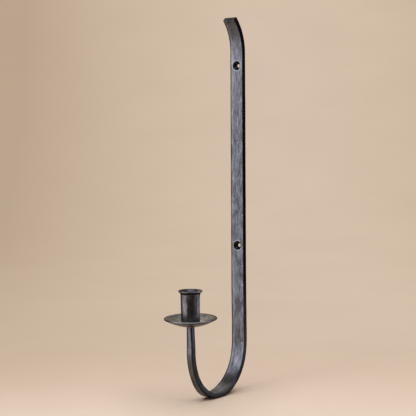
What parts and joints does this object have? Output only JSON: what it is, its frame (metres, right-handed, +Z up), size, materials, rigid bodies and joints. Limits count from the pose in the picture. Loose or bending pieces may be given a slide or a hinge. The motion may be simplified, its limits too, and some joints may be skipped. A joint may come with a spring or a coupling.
{
  "type": "wall candle holder",
  "caption": "Forged iron wall holder for a taper candle: a flat strap with a forward curl turns up into a hook that carries a drip pan and a flared candle cup.",
  "frame": {"origin": "on the wall plane, at the strap's back face, halfway between the two screw holes", "axes": "+Z up along the strap, +Y into the wall, -Y towards the room and the candle, +X to the right seen from the room"},
  "size_m": [0.0754, 0.1595, 0.5509],
  "materials": {
    "forged_bar": "hand-forged iron, blackened and waxed, with a dull graphite sheen on the hammered faces",
    "pan_sheet": "dished iron sheet, blackened and waxed, smooth",
    "cup_tube": "iron tube with long hammered flats, blackened and waxed"
  },
  "bodies": {
    "root": {"wall_bar": "forged_bar", "drip_pan": "pan_sheet", "candle_cup": "cup_tube", "cup_floor": "cup_tube"}
  },
  "joints": []
}
